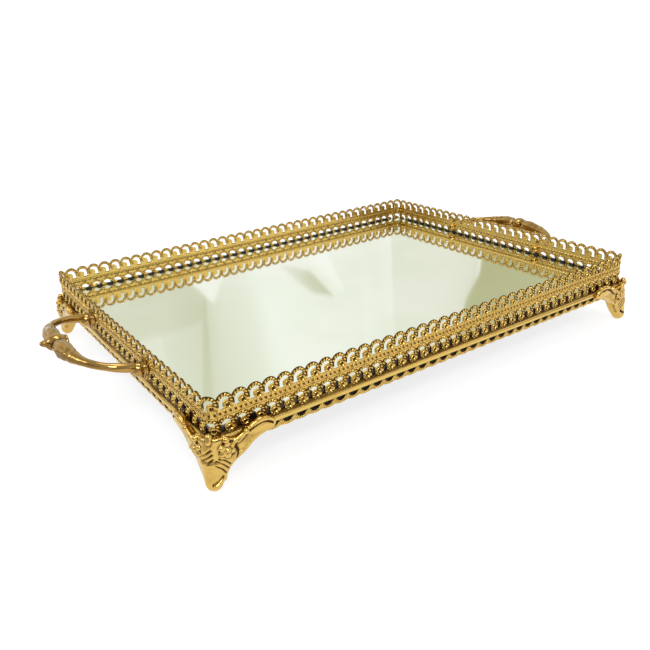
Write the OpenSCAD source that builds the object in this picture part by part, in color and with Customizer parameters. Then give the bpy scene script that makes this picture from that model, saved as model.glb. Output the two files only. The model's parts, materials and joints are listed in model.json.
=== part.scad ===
// Footed mirror tray for a dressing table: a framed mirror on a black board, wrapped in a pierced
// brass-coloured gallery strip, standing on four cast corner feet, with a cast loop handle at each
// short end. Nothing on it moves: every piece is screwed, pinned or stuck in place.
//
// Frame: origin on the ground under the middle of the tray, +X along the long sides, +Z up.
// Lengths are in millimetres.

/* [Gallery strip] */
// Length of one repeat of the pierced pattern
pitch = 9; // [7:0.5:12]
// Repeats along a long side, from corner to corner
long_repeats = 39; // [21:1:55]
// Repeats along a short side, from corner to corner
short_repeats = 29; // [19:1:45]
// Outside radius of the bend at each corner
bend_r = 5; // [4:0.5:6.5]
// Thickness of the strip
strip_t = 0.8; // [0.5:0.1:1.2]
// Height of the upper arches' centres above the strip's lowest edge
upper_arch_z = 26.4; // [25.6:0.1:29]
// Drop from the upper row of arches to the lower one
row_drop = 13.1; // [12.6:0.1:14]
// Outside radius of an arch, which scallops the upper edge
arch_r = 5; // [4.8:0.1:5.6]
// Radius of the eye under an arch
eye_r = 2.9; // [2:0.1:3.2]
// Width of the slot that runs down from an eye
stem_w = 1.4; // [1:0.1:2]
// Depth of that slot below the arch's centre
stem_h = 3.7; // [2.5:0.1:4]
// Width of the flared foot of the slot
flare_w = 3.4; // [2.2:0.1:4]
// Height of the half-moon openings' centres above the strip's lowest edge
moon_z = 4; // [3.8:0.1:4.6]
// Radius of a half-moon opening
moon_r = 2.9; // [2:0.1:3.2]
// Height of the straight sides above a half-moon
moon_rise = 0.7; // [0.3:0.1:1]
// Radius of the plain half-round moulding
mould_r = 1.45; // [1:0.05:1.6]
// How far the moulding's axis stands out from the strip
mould_out = 0.8; // [0.3:0.1:1.2]
// Gap between the ends of neighbouring strips
seam_gap = 0.1; // [0.05:0.05:0.5]

/* [Floor of the tray] */
// Height of the underside above the ground
clear_h = 21.2; // [16:0.1:30]
// Thickness of the felt under the board
felt_t = 0.8; // [0.5:0.1:2]
// How far the felt stops short of the board's edge
felt_inset = 1.5; // [1:0.5:5]
// Thickness of the backing board
board_t = 8; // [7:0.2:12]
// Thickness of the adhesive pads between the board and the mirror
adhesive_t = 0.8; // [0.3:0.1:1.5]
// Side of a square adhesive pad
adhesive_w = 30; // [15:5:40]
// Thickness of the mirror
mirror_t = 3; // [2:0.5:5]
// Thickness of the black edge band
band_t = 1.2; // [0.8:0.1:1.5]
// How far the edge band's tabs stand above the mirror, behind the slots of the lower row
tab_h = 1.5; // [0.5:0.1:1.8]
// Width of a tab
tab_w = 3.8; // [2:0.2:5]
// How far the strip reaches below the board
strip_drop = 0.1; // [0:0.1:0.5]

/* [Feet] */
// Thickness of a foot's casting
foot_t = 2.6; // [2:0.2:4]
// Thickness of the shelf that carries the tray
shelf_t = 3; // [2:0.5:5]
// Reach of the shelf along each side, from the corner
shelf_reach = 15; // [13:1:18]
// Distance of the foot's screw from both sides
foot_screw_in = 8; // [7:0.5:9]
// Radius of the toe
toe_r = 5.4; // [5:0.1:7]
// Height of the toe's centre above the ground
toe_z = 4.9; // [4.4:0.1:5.2]
// How far the toe's centre lies outside the strip, on both sides of the corner
toe_out = 1.2; // [0:0.1:1.5]
// Radius of the rosette on each face
rosette_r = 4.4; // [3:0.1:5]
// Height of the rosette
rosette_h = 0.8; // [0.4:0.1:1.5]
// Radius of the small balls
ball_r = 1.9; // [1.2:0.1:3]

/* [Handles] */
// Distance between a handle's two screws
handle_span = 99; // [70:1:120]
// Reach of a handle, from the strip to the middle of its bar
handle_reach = 36.8; // [28:0.2:50]
// Height of a handle's screws above the mirror
handle_above = 5.3; // [5.2:0.1:6.5]
// Rise of the left handle for each millimetre that it reaches out
left_handle_rise = 0.245; // [0:0.005:0.4]
// Rise of the right handle for each millimetre that it reaches out
right_handle_rise = 0.12; // [0:0.005:0.4]
// Length of the bud in the middle of a handle
bud_l = 16.5; // [12:0.5:24]
// Radius of the bud
bud_r = 4.9; // [4:0.1:7]
// Radius of the knuckle at each end of a handle
knuckle_r = 4.5; // [4:0.1:6]
// Height of the leaf-shaped flange at each end
flange_h = 17; // [12:0.5:17.5]
// Width of the flange
flange_w = 10; // [8:0.5:14]
// Thickness of the flange
flange_t = 1.6; // [1:0.1:3]

/* [Fasteners] */
// Radius of a handle screw's shank
handle_screw_r = 1.5; // [1:0.1:2]
// Length of a handle screw under its head
handle_screw_l = 8.5; // [6:0.5:9]
// Radius of a handle screw's head
handle_head_r = 2.8; // [2.2:0.1:3.4]
// Height of a handle screw's head
handle_head_h = 1.9; // [1:0.1:3]
// Radius of the washer under that head
washer_r = 3.5; // [3:0.1:3.9]
// Thickness of the washer
washer_t = 0.6; // [0.4:0.1:1]
// Radius of a foot screw's shank
foot_screw_r = 1.6; // [1.2:0.1:2]
// Length of a foot screw under its head
foot_screw_l = 9.5; // [7:0.5:11]
// Radius of a foot screw's head
foot_head_r = 3.1; // [2.5:0.1:3.6]
// Height of a foot screw's head
foot_head_h = 2; // [1:0.1:2.5]
// Radius of a gallery pin's shank
pin_r = 0.5; // [0.4:0.05:0.7]
// Length of a gallery pin under its head
pin_l = 8; // [5:0.5:12]
// Radius of a gallery pin's head
pin_head_r = 0.9; // [0.7:0.05:1]
// Height of a gallery pin's head
pin_head_h = 0.5; // [0.3:0.1:1]
// Pins along a long side
long_pins = 5; // [2:1:8]
// Pins along a short side
short_pins = 4; // [2:1:6]

/* [Fits] */
// Gap between the strip, the edge band and the board
wrap_gap = 0.1; // [0.05:0.05:0.3]
// Gap round a screw or a pin in its hole
hole_gap = 0.1; // [0.05:0.05:0.3]
// Gap between a foot and the moulding behind it
foot_gap = 0.15; // [0.1:0.05:0.5]

/* [Hidden] */
$fn = 48;

// Colours of the finishes
gold = [0.85, 0.66, 0.28];
gold_cast = [0.83, 0.62, 0.27];
steel = [0.70, 0.68, 0.60];
black = [0.06, 0.06, 0.06];
silvered = [0.87, 0.90, 0.84];

// Length of strip in one corner bend, and the straight stretch between two bends
bend_arc = PI * bend_r / 2;
long_run = long_repeats * pitch - bend_arc;
short_run = short_repeats * pitch - bend_arc;
tray_l = long_run + 2 * bend_r;
tray_w = short_run + 2 * bend_r;

// Heights above the ground, from the felt up
felt_z = clear_h;
board_z = felt_z + felt_t;
adhesive_z = board_z + board_t;
mirror_z = adhesive_z + adhesive_t;
mirror_top = mirror_z + mirror_t;
strip_z = board_z - strip_drop;
handle_z = mirror_top + handle_above;

// Distances inward from the strip's outer face
band_inset = strip_t + wrap_gap;
board_inset = band_inset + band_t + wrap_gap;

// Heights on the strip, above its lowest edge
lower_arch_z = upper_arch_z - row_drop;
scallop_r = moon_z;
web_z = moon_z - 1.5;
mould_z = moon_z + moon_rise + mould_r;
bend_top = upper_arch_z + arch_r / 2;
pin_z = moon_z - 0.5;
overlap = 0.2;
cut = 3;

// A foot's inner face clears the moulding
foot_in = mould_out + mould_r + foot_gap;
foot_out = foot_in + foot_t;

// A handle's bar follows an oval of this exponent, from knuckle to knuckle
oval = 0.7;
bar_steps = 40;
bar_sides = 14;
bar_start = 2;
// Radius of the bar against the distance from the handle's middle, as a share of half the span
bar_radii = [[0, 4.2], [0.12, 5.6], [0.27, 6.2], [0.45, 5.3], [0.65, 3.9], [0.85, 3.3], [1, 3.5]];

// Outline of a foot's face: distance from the corner, height
face_outline = [
    [5, 6], [6.4, 7.4], [7.4, 9.6], [8, 11.8], [9.6, 14], [13, 16.2], [17, 18.4], [21, 21.6],
    [25, 24.2], [30, 25.8], [34.5, 26.2], [36.6, 28.2], [36, 31], [32, 33.6], [27, 34.2], [22, 32.6],
    [18, 31.4], [14.5, 29.2], [11, 29], [7.5, 30.6], [5, 31.2]
];
rosette_at = [7.2, 23.2];
inner_ball_at = [17.5, 28.6];
corner_ball_z = 32;
ankle_z = 10.5;
ankle_r = 7;

// ---------- outlines shared by several pieces ----------

// Plan of the tray, drawn in from the strip's outer face
module plan(inset) {
    r = max(bend_r - inset, 0.5);
    l = tray_l - 2 * inset;
    w = tray_w - 2 * inset;
    square([l - 2 * r, w], center = true);
    square([l, w - 2 * r], center = true);
    for (x = [-1, 1], y = [-1, 1])
        translate([x * (l / 2 - r), y * (w / 2 - r)]) circle(r);
}

// Puts its children on side i (0 front, 1 right, 2 back, 3 left): there +X runs along the strip from
// the start of its straight stretch, -Y points out of the tray, and the strip's outer face is y = 0
module on_side(i) {
    x = (i % 2 == 0 ? tray_l / 2 - bend_r : tray_l / 2);
    y = (i % 2 == 0 ? tray_w / 2 : tray_w / 2 - bend_r);
    corner = [[-x, -y], [x, -y], [x, y], [-x, y]][i];
    translate(corner) rotate(90 * i) children();
}

// Puts its children at every place of a pin
module at_pins() {
    for (i = [0:3]) {
        repeats = (i % 2 == 0 ? long_repeats : short_repeats);
        count = (i % 2 == 0 ? long_pins : short_pins);
        on_side(i)
            for (k = [0:count - 1])
                translate([centre_of(round((k + 0.5) * repeats / count)) + pitch / 2, 0, strip_z + pin_z])
                    children();
    }
}

// Puts its children at every place of a handle screw
module at_handle_screws() {
    for (i = [1, 3], s = [-1, 1])
        on_side(i) translate([short_run / 2 + s * handle_span / 2, 0, handle_z]) children();
}

// Puts its children at one corner: there +X and +Y run inward along the two sides
module at_corner(x, y) {
    translate([x * tray_l / 2, y * tray_w / 2])
        mirror([x > 0 ? 1 : 0, 0]) mirror([0, y > 0 ? 1 : 0]) children();
}

module at_corners() {
    for (x = [-1, 1], y = [-1, 1]) at_corner(x, y) children();
}

// A round bar along +Y from y0 to y1
module bar_y(r, y0, y1) {
    translate([0, y0, 0]) rotate([-90, 0, 0]) cylinder(r = r, h = y1 - y0);
}

// ---------- floor ----------

module mirror_plate() {
    color(silvered) translate([0, 0, mirror_z]) linear_extrude(mirror_t) plan(board_inset);
}

module mirror_adhesive() {
    color("white")
        for (x = [-1, 0, 1], y = [-1, 1])
            translate([x * tray_l / 3, y * tray_w / 4, adhesive_z + adhesive_t / 2])
                cube([adhesive_w, adhesive_w, adhesive_t], center = true);
}

module backing_board() {
    color(black) difference() {
        translate([0, 0, board_z]) linear_extrude(board_t) plan(board_inset);
        at_pins() bar_y(pin_r + hole_gap, 0, pin_l + hole_gap);
        at_corners() foot_screw_hole();
    }
}

// The tabs along one side, which close the lower slots without hiding the strip between them
module band_tabs(repeats) {
    for (k = [2:repeats - 2])
        translate([centre_of(k) - eye_r + (stem_w - tab_w) / 2, band_inset, mirror_top - overlap])
            cube([tab_w, band_t, tab_h + overlap]);
}

module edge_band() {
    color(black) difference() {
        union() {
            translate([0, 0, board_z]) linear_extrude(mirror_top - board_z) difference() {
                plan(band_inset);
                plan(band_inset + band_t);
            }
            for (i = [0:3]) on_side(i) band_tabs(i % 2 == 0 ? long_repeats : short_repeats);
        }
        at_pins() bar_y(pin_r + hole_gap, 0, pin_l);
    }
}

module felt_backing() {
    color("dimgray") difference() {
        translate([0, 0, felt_z]) linear_extrude(felt_t) plan(board_inset + felt_inset);
        at_corners() foot_screw_hole();
    }
}

// ---------- gallery ----------

// Distance of the middle of repeat k from the start of the straight stretch
function centre_of(k) = k * pitch - bend_arc / 2;

// The eye under an arch with its slot, about the arch's centre
module scroll_opening() {
    intersection() {
        circle(eye_r);
        translate([-eye_r, 0]) square([2 * eye_r, eye_r]);
    }
    translate([-eye_r, -stem_h]) square([stem_w, stem_h + overlap]);
    translate([-eye_r + stem_w / 2, -stem_h])
        polygon([[-flare_w / 2, 0], [flare_w / 2, 0], [0, flare_w / 2 + stem_w / 2]]);
}

// A half-moon opening, about its centre
module half_moon() {
    intersection() {
        circle(moon_r);
        translate([-moon_r, -moon_r]) square([2 * moon_r, moon_r]);
    }
    translate([-moon_r, -overlap]) square([2 * moon_r, moon_rise + overlap]);
}

// All the openings of one repeat
module repeat_openings() {
    translate([0, upper_arch_z]) scroll_opening();
    translate([0, lower_arch_z]) scroll_opening();
    translate([0, moon_z]) half_moon();
}

// The flat strip of one straight stretch: distance along it, height
module strip_face(repeats, run) {
    intersection() {
        translate([seam_gap, 0]) square([run - seam_gap, 2 * bend_top]);
        difference() {
            union() {
                translate([0, web_z]) square([run, bend_top - web_z]);
                for (k = [1:repeats - 1]) {
                    translate([centre_of(k), upper_arch_z]) circle(arch_r);
                    translate([centre_of(k), moon_z]) circle(scallop_r);
                }
            }
            for (k = [1:repeats - 1]) translate([centre_of(k), 0]) repeat_openings();
        }
    }
}

// One strip: a straight stretch and the bend at its far end
module gallery(repeats, run) {
    translate([0, 0, strip_z]) difference() {
        union() {
            translate([0, strip_t, 0]) rotate([90, 0, 0])
                linear_extrude(strip_t) strip_face(repeats, run);
            translate([seam_gap, -mould_out, mould_z]) rotate([0, 90, 0])
                cylinder(r = mould_r, h = run - seam_gap);
            translate([run, bend_r, 0]) rotate(-90) rotate_extrude(angle = 90) {
                translate([bend_r - strip_t, web_z]) square([strip_t, bend_top - web_z]);
                translate([bend_r + mould_out, mould_z]) circle(mould_r);
            }
        }
        translate([run, bend_r, 0]) rotate(45) translate([0, -bend_r / 2, 0]) rotate([90, 0, 0])
            linear_extrude(bend_r) repeat_openings();
    }
}

module gallery_long(i) {
    color(gold) difference() {
        on_side(i) gallery(long_repeats, long_run);
        at_pins() bar_y(pin_r + hole_gap, -cut, strip_t + wrap_gap / 2);
    }
}

module gallery_short(i) {
    color(gold) difference() {
        on_side(i) gallery(short_repeats, short_run);
        at_pins() bar_y(pin_r + hole_gap, -cut, strip_t + wrap_gap / 2);
        at_handle_screws() bar_y(handle_screw_r + hole_gap, -cut, cut);
    }
}

module gallery_front() { gallery_long(0); }
module gallery_right() { gallery_short(1); }
module gallery_back() { gallery_long(2); }
module gallery_left() { gallery_short(3); }

// ---------- feet ----------

module foot_screw_hole() {
    translate([foot_screw_in, foot_screw_in, clear_h - shelf_t - cut])
        cylinder(r = foot_screw_r + hole_gap, h = foot_screw_l + cut + hole_gap);
}

// One face of a foot, in front of the side that runs along +X
module foot_face() {
    translate([0, -foot_in, 0]) rotate([90, 0, 0]) linear_extrude(foot_t) polygon(face_outline);
    translate([rosette_at[0], -foot_out, rosette_at[1]]) {
        bar_y(rosette_r, -rosette_h, foot_t / 2);
        translate([0, -rosette_h, 0]) sphere(ball_r);
    }
    translate([inner_ball_at[0], -foot_out, inner_ball_at[1]]) sphere(ball_r);
}

module foot() {
    corner_top = face_outline[len(face_outline) - 1][1];
    color(gold_cast) difference() {
        union() {
            foot_face();
            mirror([1, -1, 0]) foot_face();
            translate([bend_r, bend_r, 0]) rotate(180) rotate_extrude(angle = 90)
                translate([bend_r + foot_in, toe_z]) square([foot_t, corner_top - toe_z]);
            translate([bend_r, bend_r, 0]) rotate(45)
                translate([-bend_r - foot_in - foot_t / 2, 0, corner_ball_z]) sphere(ball_r);
            translate([-toe_out, -toe_out, toe_z]) sphere(toe_r);
            translate([0, 0, ankle_z]) sphere(ankle_r);
            translate([0, 0, clear_h - shelf_t]) linear_extrude(shelf_t)
                polygon([
                    [bend_r, -foot_in - foot_t / 2], [shelf_reach, -foot_in - foot_t / 2],
                    [shelf_reach, foot_screw_in], [foot_screw_in, shelf_reach],
                    [-foot_in - foot_t / 2, shelf_reach], [-foot_in - foot_t / 2, bend_r]
                ]);
        }
        translate([0, 0, -toe_r]) linear_extrude(toe_r) square(8 * toe_r, center = true);
        foot_screw_hole();
    }
}

module front_left_foot() { at_corner(-1, -1) foot(); }
module front_right_foot() { at_corner(1, -1) foot(); }
module rear_left_foot() { at_corner(-1, 1) foot(); }
module rear_right_foot() { at_corner(1, 1) foot(); }

// ---------- handles ----------

// A tube swept through the points p with radii r: rings of n corners, then its triangles
function unit(v) = v / norm(v);
function tangent(p, i) = unit(p[min(i + 1, len(p) - 1)] - p[max(i - 1, 0)]);
function ring(c, t, r, n) =
    let (side = unit(cross(t, [0, 0, 1])), up = cross(side, t))
    [for (k = [0:n - 1]) c + r * (cos(360 * k / n) * side + sin(360 * k / n) * up)];
function tube_points(p, r, n) = [for (i = [0:len(p) - 1]) each ring(p[i], tangent(p, i), r[i], n)];
function tube_faces(rings, n) = concat(
    [for (i = [0:rings - 2], k = [0:n - 1])
        let (a = i * n + k, b = i * n + (k + 1) % n)
        each [[a, b, b + n], [a, b + n, a + n]]],
    [[for (k = [0:n - 1]) n - 1 - k]],
    [[for (k = [0:n - 1]) (rings - 1) * n + k]]
);

// Point of the bar's middle line at angle t, from one knuckle (0) to the other (180)
function bar_point(t, rise) =
    let (out = handle_reach * pow(sin(t), oval), along = pow(abs(cos(t)), oval) * sign(cos(t)))
    [along * handle_span / 2, -out, rise * out];

// One handle about its middle, on the strip's outer face: +X along the strip, -Y out of the tray
module handle(rise) {
    steps = [for (i = [0:bar_steps]) bar_start + (180 - 2 * bar_start) * i / bar_steps];
    path = [for (t = steps) bar_point(t, rise)];
    radii = [for (p = path) lookup(abs(p[0]) / (handle_span / 2), bar_radii)];
    color(gold_cast) difference() {
        union() {
            polyhedron(tube_points(path, radii, bar_sides), tube_faces(len(path), bar_sides));
            handle_bud(rise);
            for (s = [-1, 1]) translate([s * handle_span / 2, 0, 0]) handle_end();
        }
        for (s = [-1, 1])
            translate([s * handle_span / 2, 0, 0])
                bar_y(handle_screw_r + hole_gap, strip_t + washer_t - handle_screw_l - hole_gap, cut);
    }
}

// The oval bud in the middle, along the line that the handle reaches out
module handle_bud(rise) {
    profile = [for (i = [0:12]) let (a = 180 * i / 12) [bud_r * sin(a), -bud_l / 2 * cos(a)]];
    translate([0, -handle_reach, rise * handle_reach])
        rotate([90 - atan(rise), 0, 0]) rotate_extrude() polygon(profile);
}

// The leaf-shaped flange and the knuckle in front of it
module handle_end() {
    leaf_r = (flange_h * flange_h + flange_w * flange_w) / (4 * flange_w);
    rotate([90, 0, 0]) linear_extrude(flange_t) intersection() {
        translate([leaf_r - flange_w / 2, 0]) circle(leaf_r);
        translate([flange_w / 2 - leaf_r, 0]) circle(leaf_r);
    }
    translate([0, -knuckle_r - hole_gap, 0]) sphere(knuckle_r);
}

module handle_on(i, rise) {
    on_side(i) translate([short_run / 2, 0, handle_z]) handle(rise);
}

module right_handle() { handle_on(1, right_handle_rise); }
module left_handle() { handle_on(3, left_handle_rise); }

// ---------- fasteners ----------

module handle_screws() {
    head = strip_t + washer_t;
    color(steel) at_handle_screws() {
        bar_y(handle_screw_r, head - handle_screw_l, head + overlap);
        bar_y(handle_head_r, head, head + handle_head_h);
    }
}

module handle_washers() {
    color(steel) at_handle_screws() difference() {
        bar_y(washer_r, strip_t, strip_t + washer_t);
        bar_y(handle_screw_r + hole_gap, 0, cut);
    }
}

module foot_screws() {
    color(steel) at_corners() translate([foot_screw_in, foot_screw_in, clear_h - shelf_t]) {
        cylinder(r = foot_screw_r, h = foot_screw_l);
        translate([0, 0, -foot_head_h]) cylinder(r = foot_head_r, h = foot_head_h);
    }
}

module gallery_pins() {
    color(gold) at_pins() {
        bar_y(pin_r, -overlap, pin_l);
        bar_y(pin_head_r, -pin_head_h, 0);
    }
}

mirror_plate();
mirror_adhesive();
backing_board();
edge_band();
felt_backing();
gallery_front();
gallery_right();
gallery_back();
gallery_left();
front_left_foot();
front_right_foot();
rear_left_foot();
rear_right_foot();
left_handle();
right_handle();
handle_screws();
handle_washers();
foot_screws();
gallery_pins();
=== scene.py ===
import json
import math

import bmesh
import bpy
import numpy as np
from mathutils import Matrix, Vector
from mathutils.geometry import delaunay_2d_cdt

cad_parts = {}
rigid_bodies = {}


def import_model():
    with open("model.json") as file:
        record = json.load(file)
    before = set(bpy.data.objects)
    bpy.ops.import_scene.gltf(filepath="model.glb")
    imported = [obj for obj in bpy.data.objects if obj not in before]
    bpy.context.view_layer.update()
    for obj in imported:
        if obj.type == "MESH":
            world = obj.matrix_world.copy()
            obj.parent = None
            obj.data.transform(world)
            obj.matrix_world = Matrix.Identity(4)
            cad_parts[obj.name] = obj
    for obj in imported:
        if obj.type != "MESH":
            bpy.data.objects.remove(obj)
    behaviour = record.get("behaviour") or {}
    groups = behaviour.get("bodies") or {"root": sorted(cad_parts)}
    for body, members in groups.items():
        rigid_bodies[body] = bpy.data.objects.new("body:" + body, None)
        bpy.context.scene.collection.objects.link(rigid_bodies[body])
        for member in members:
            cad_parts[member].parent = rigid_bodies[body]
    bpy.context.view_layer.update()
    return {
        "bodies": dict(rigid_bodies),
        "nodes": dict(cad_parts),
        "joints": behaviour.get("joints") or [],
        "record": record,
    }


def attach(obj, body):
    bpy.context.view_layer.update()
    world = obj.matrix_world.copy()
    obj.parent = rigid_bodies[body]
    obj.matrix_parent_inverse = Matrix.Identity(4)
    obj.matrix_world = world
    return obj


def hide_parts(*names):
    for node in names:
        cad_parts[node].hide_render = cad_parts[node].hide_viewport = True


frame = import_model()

MM = 0.001


# ---------- sizes of the tray, in millimetres ----------

PITCH = 9.0                     # one repeat of the pierced pattern
LONG_REPEATS, SHORT_REPEATS = 39, 29
BEND_R = 5.0                    # outside radius of the strip's bends
BEND_ARC = math.pi * BEND_R / 2
STRIP_T = 0.8
STRIP_Z = 21.9                  # the strip's lowest edge above the ground
TRAY_L = LONG_REPEATS * PITCH - BEND_ARC + 2 * BEND_R
TRAY_W = SHORT_REPEATS * PITCH - BEND_ARC + 2 * BEND_R

ROWS = (26.4, 13.3)             # centres of the two rows of arches above the strip's lowest edge
ROPE_R = 3.8                    # middle of the rope that makes an arch
ARCH_OUT = 4.95
PIERCED_T = 0.5                 # the sheet is thinner where it is stamped and pierced
STUDS_Z = 20.15
MOON_Z = 4.0
SKIRT_D = 0.9                   # how far the skirt stands out from the strip
PLATE_FOOT = 8.9                # where the plate disappears behind the moulding
GRID = 1.3                      # spacing of the plate's inner points, so that it bends smoothly


# ---------- meshes ----------

class Solid:
    """Points, faces and a relief mark for each point, gathered into one mesh; the gold finishes paint low
    marks dark as shade and high marks bright.
    """

    def __init__(self):
        self.points, self.faces, self.marks = [], [], []

    def add(self, points, faces, mark):
        first = len(self.points)
        self.points += [Vector(p) for p in points]
        self.marks += list(mark) if hasattr(mark, "__len__") else [mark] * len(points)
        self.faces += [[first + i for i in face] for face in faces]

    def made(self, name):
        mesh = bpy.data.meshes.new(name)
        mesh.from_pydata([p * MM for p in self.points], [], self.faces)
        mesh.validate()
        height = mesh.attributes.new("relief", "FLOAT", "POINT")
        height.data.foreach_set("value", self.marks)
        item = bpy.data.objects.new(name, mesh)
        bpy.context.scene.collection.objects.link(item)
        return item


def outward(item):
    """Turns every closed part's faces outwards."""
    work = bmesh.new()
    work.from_mesh(item.data)
    bmesh.ops.recalc_face_normals(work, faces=work.faces)
    work.to_mesh(item.data)
    work.free()
    return item


def pip(solid, at, size, turn=0.0, sides=6, bands=4, mark=(0.25, 1.0)):
    """A small domed boss on the strip, (along, out, up), turned in the strip's own plane. Its marks paint
    shade round its middle, where it meets the plate, and a painted highlight on its front and back.
    """
    points, faces = [(0, size[1], 0)], []
    for band in range(1, bands):
        polar = math.pi * band / bands
        for k in range(sides):
            a = 2 * math.pi * k / sides
            points.append((size[0] * math.sin(polar) * math.cos(a), size[1] * math.cos(polar),
                           size[2] * math.sin(polar) * math.sin(a)))
    points.append((0, -size[1], 0))
    last = len(points) - 1
    for k in range(sides):
        n = (k + 1) % sides
        faces.append((0, 1 + k, 1 + n))
        for band in range(bands - 2):
            a, b = 1 + band * sides, 1 + (band + 1) * sides
            faces.append((a + k, b + k, b + n, a + n))
        top = 1 + (bands - 2) * sides
        faces.append((top + n, top + k, last))
    c, s = math.cos(turn), math.sin(turn)
    placed = [(at[0] + c * x - s * z, -(at[1] + y), at[2] + s * x + c * z) for x, y, z in points]
    marks = [mark[0] + (mark[1] - mark[0]) * abs(y / size[1]) for x, y, z in points]
    solid.add(placed, faces, marks)


def dish(solid, at, radius, rise, sides=10, dome=0.3):
    """A punched dimple with a raised rim, which shows as a dome behind."""
    # Each ring's mark: painted shade in the bottom of the dimple and at its outer edge, and painted light on
    # the rim and on the dome behind
    rings = [(0, 0.12, 0.0), (0.45, 0.18, 0.05), (0.74, rise, 0.9), (0.9, rise * 0.7, 0.7), (1, -0.2, 0.2),
             (0.85, -PIERCED_T - 0.3 * dome, 0.7), (0.5, -PIERCED_T - 0.8 * dome, 1.0),
             (0, -PIERCED_T - dome, 1.0)]
    points, faces, marks = [], [], []
    for share, out, mark in rings:
        for k in range(1 if share == 0 else sides):
            a = 2 * math.pi * k / sides
            points.append((at[0] + share * radius * math.cos(a), -out,
                           at[1] + share * radius * math.sin(a)))
            marks.append(mark)
    last = len(points) - 1
    for k in range(sides):
        n = (k + 1) % sides
        faces.append((0, 1 + k, 1 + n))
        for ring in range(len(rings) - 3):
            a, b = 1 + ring * sides, 1 + (ring + 1) * sides
            faces.append((a + k, b + k, b + n, a + n))
        faces.append((last - sides + n, last - sides + k, last))
    solid.add(points, faces, marks)


def inside(loop, x, z):
    odd = False
    for (ax, az), (bx, bz) in zip(loop, loop[1:] + loop[:1]):
        if (az > z) != (bz > z) and x < (bx - ax) * (z - az) / (bz - az) + ax:
            odd = not odd
    return odd


def plate(solid, outline, holes, front, back, mark):
    """A flat plate with openings, front and back at those depths. Its ends at half a pitch stay open,
    because the next repeat joins there."""
    loops = [outline] + holes
    points, edges = [], []
    for loop in loops:
        first = len(points)
        points += loop
        edges += [(first + i, first + (i + 1) % len(loop)) for i in range(len(loop))]
    low = min(z for x, z in outline)
    high = max(z for x, z in outline)
    rim = len(points)
    across = round(PITCH / GRID)
    for i in range(1, across):
        for j in range(1, int((high - low) / GRID) + 1):
            x, z = -PITCH / 2 + i * PITCH / across, low + j * GRID
            clear = min(math.dist((x, z), p) for p in points[:rim])
            if clear > GRID * 0.45:
                points.append((x, z))
    flat, _, tris, _, _, _ = delaunay_2d_cdt([Vector(p) for p in points], edges, [], 0, 1e-5)
    flat = [tuple(p) for p in flat]
    kept = []
    for tri in tris:
        x = sum(flat[i][0] for i in tri) / 3
        z = sum(flat[i][1] for i in tri) / 3
        if inside(outline, x, z) and not any(inside(hole, x, z) for hole in holes):
            kept.append(tri)
    n = len(flat)
    faces = [tuple(tri) for tri in kept] + [tuple(n + i for i in reversed(tri)) for tri in kept]
    sides = {}
    for tri in kept:
        for a, b in zip(tri, tri[1:] + tri[:1]):
            sides[(a, b)] = sides.get((a, b), 0) + 1
    for a, b in sides:
        at_joint = abs(abs(flat[a][0]) - PITCH / 2) < 1e-4 and abs(abs(flat[b][0]) - PITCH / 2) < 1e-4
        if (b, a) not in sides and not at_joint:
            faces.append((b, a, n + a, n + b))
    placed = [(x, -front, z) for x, z in flat] + [(x, -back, z) for x, z in flat]
    # The back face's marks: a darker band just under the studs, and elsewhere lighter, with the painted shade
    # under the ropes from the front softened
    behind = [0.2 if -1.9 < z - STUDS_Z < -0.6 else 0.42 + 0.52 * mark(x, z) for x, z in flat]
    solid.add(placed, faces, [mark(x, z) for x, z in flat] + behind)


def arc(cx, cz, r, start, end, steps):
    """Points on a circle from one angle to the other, in degrees."""
    turns = [math.radians(start + (end - start) * i / steps) for i in range(steps + 1)]
    return [(cx + r * math.cos(t), cz + r * math.sin(t)) for t in turns]


def scroll_opening(z):
    """The crescent under an arch, with a stem at its left end that widens into a flared foot."""
    loop = [(-4.1, -4.25), (0.1, -4.25), (-0.6, -3.5), (-0.95, -2.5), (-1.05, -1.4), (-0.8, -0.5),
            (-0.1, 0.15), (0.9, 0.5), (1.9, 0.65), (2.8, 0.75), (3.15, 1.15), (2.8, 1.75), (1.8, 2.3),
            (0.5, 2.55), (-0.8, 2.4), (-2.1, 1.75), (-2.95, 0.6), (-3.2, -0.4), (-3.15, -1.4),
            (-3.15, -2.4), (-3.5, -3.4)]
    return [(x, z + h) for x, h in loop]


def half_moon():
    """A half-moon with a flat top, deeper at its left end and pointed at its right."""
    return [(-3.2, 4.45), (-3.25, 3.5), (-2.7, 2.6), (-1.5, 1.85), (0, 1.6), (1.4, 1.95),
            (2.5, 2.8), (3.3, 3.9), (3.45, 4.45)]


def rope_shade_mark(x, z):
    """Painted shade: dark under the ropes, and bright on the plain bands."""
    away = min(abs(math.hypot(x + shift, z - row) - ROPE_R) if z > row - 3 else 9
               for row in ROWS for shift in (-PITCH, 0, PITCH))
    return 0.0 if away < 1.2 else 0.75


def skirt_mark(x, z):
    return 0.5


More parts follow.
